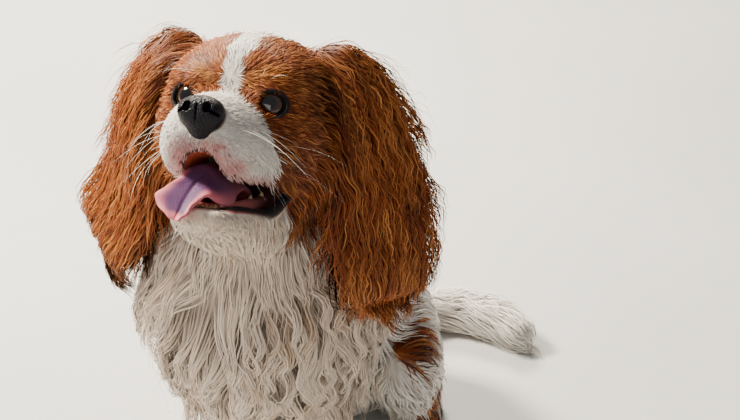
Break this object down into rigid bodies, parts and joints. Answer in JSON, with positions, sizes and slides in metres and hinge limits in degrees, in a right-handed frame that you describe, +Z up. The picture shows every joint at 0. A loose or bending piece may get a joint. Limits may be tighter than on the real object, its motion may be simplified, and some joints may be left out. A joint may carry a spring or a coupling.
{
  "type": "cavalier king charles spaniel",
  "caption": "Life-size still model of a chestnut and white spaniel, sitting on the floor with head raised and turned, mouth open and tongue out, tail laid to one side.",
  "frame": {"origin": "on the floor, at the middle of the flat that the rump rests on", "axes": "+Z up, the dog faces -Y, its left side is towards +X"},
  "size_m": [0.3292, 0.4139, 0.3986],
  "materials": {
    "chestnut_coat": "long silky chestnut hair",
    "white_coat": "long silky white hair, faintly cream",
    "nose_leather": "moist pebbled black skin",
    "tongue_flesh": "moist pink flesh",
    "eye": "wet dark brown eye"
  },
  "bodies": {
    "root": {"head": "chestnut_coat", "neck": "white_coat", "torso": "white_coat", "tail_root": "white_coat", "tail_plume": "white_coat", "chest": "white_coat", "lower_jaw": "white_coat", "ear_left": "chestnut_coat", "ear_right": "chestnut_coat", "nose": "nose_leather", "tongue": "tongue_flesh", "eye_left": "eye", "eye_right": "eye", "thigh_left": "white_coat", "thigh_right": "white_coat", "hindfoot_left": "white_coat", "hindfoot_right": "white_coat", "forepaw_left": "white_coat", "forepaw_right": "white_coat", "foreleg_left": "white_coat", "foreleg_right": "white_coat"}
  },
  "joints": []
}
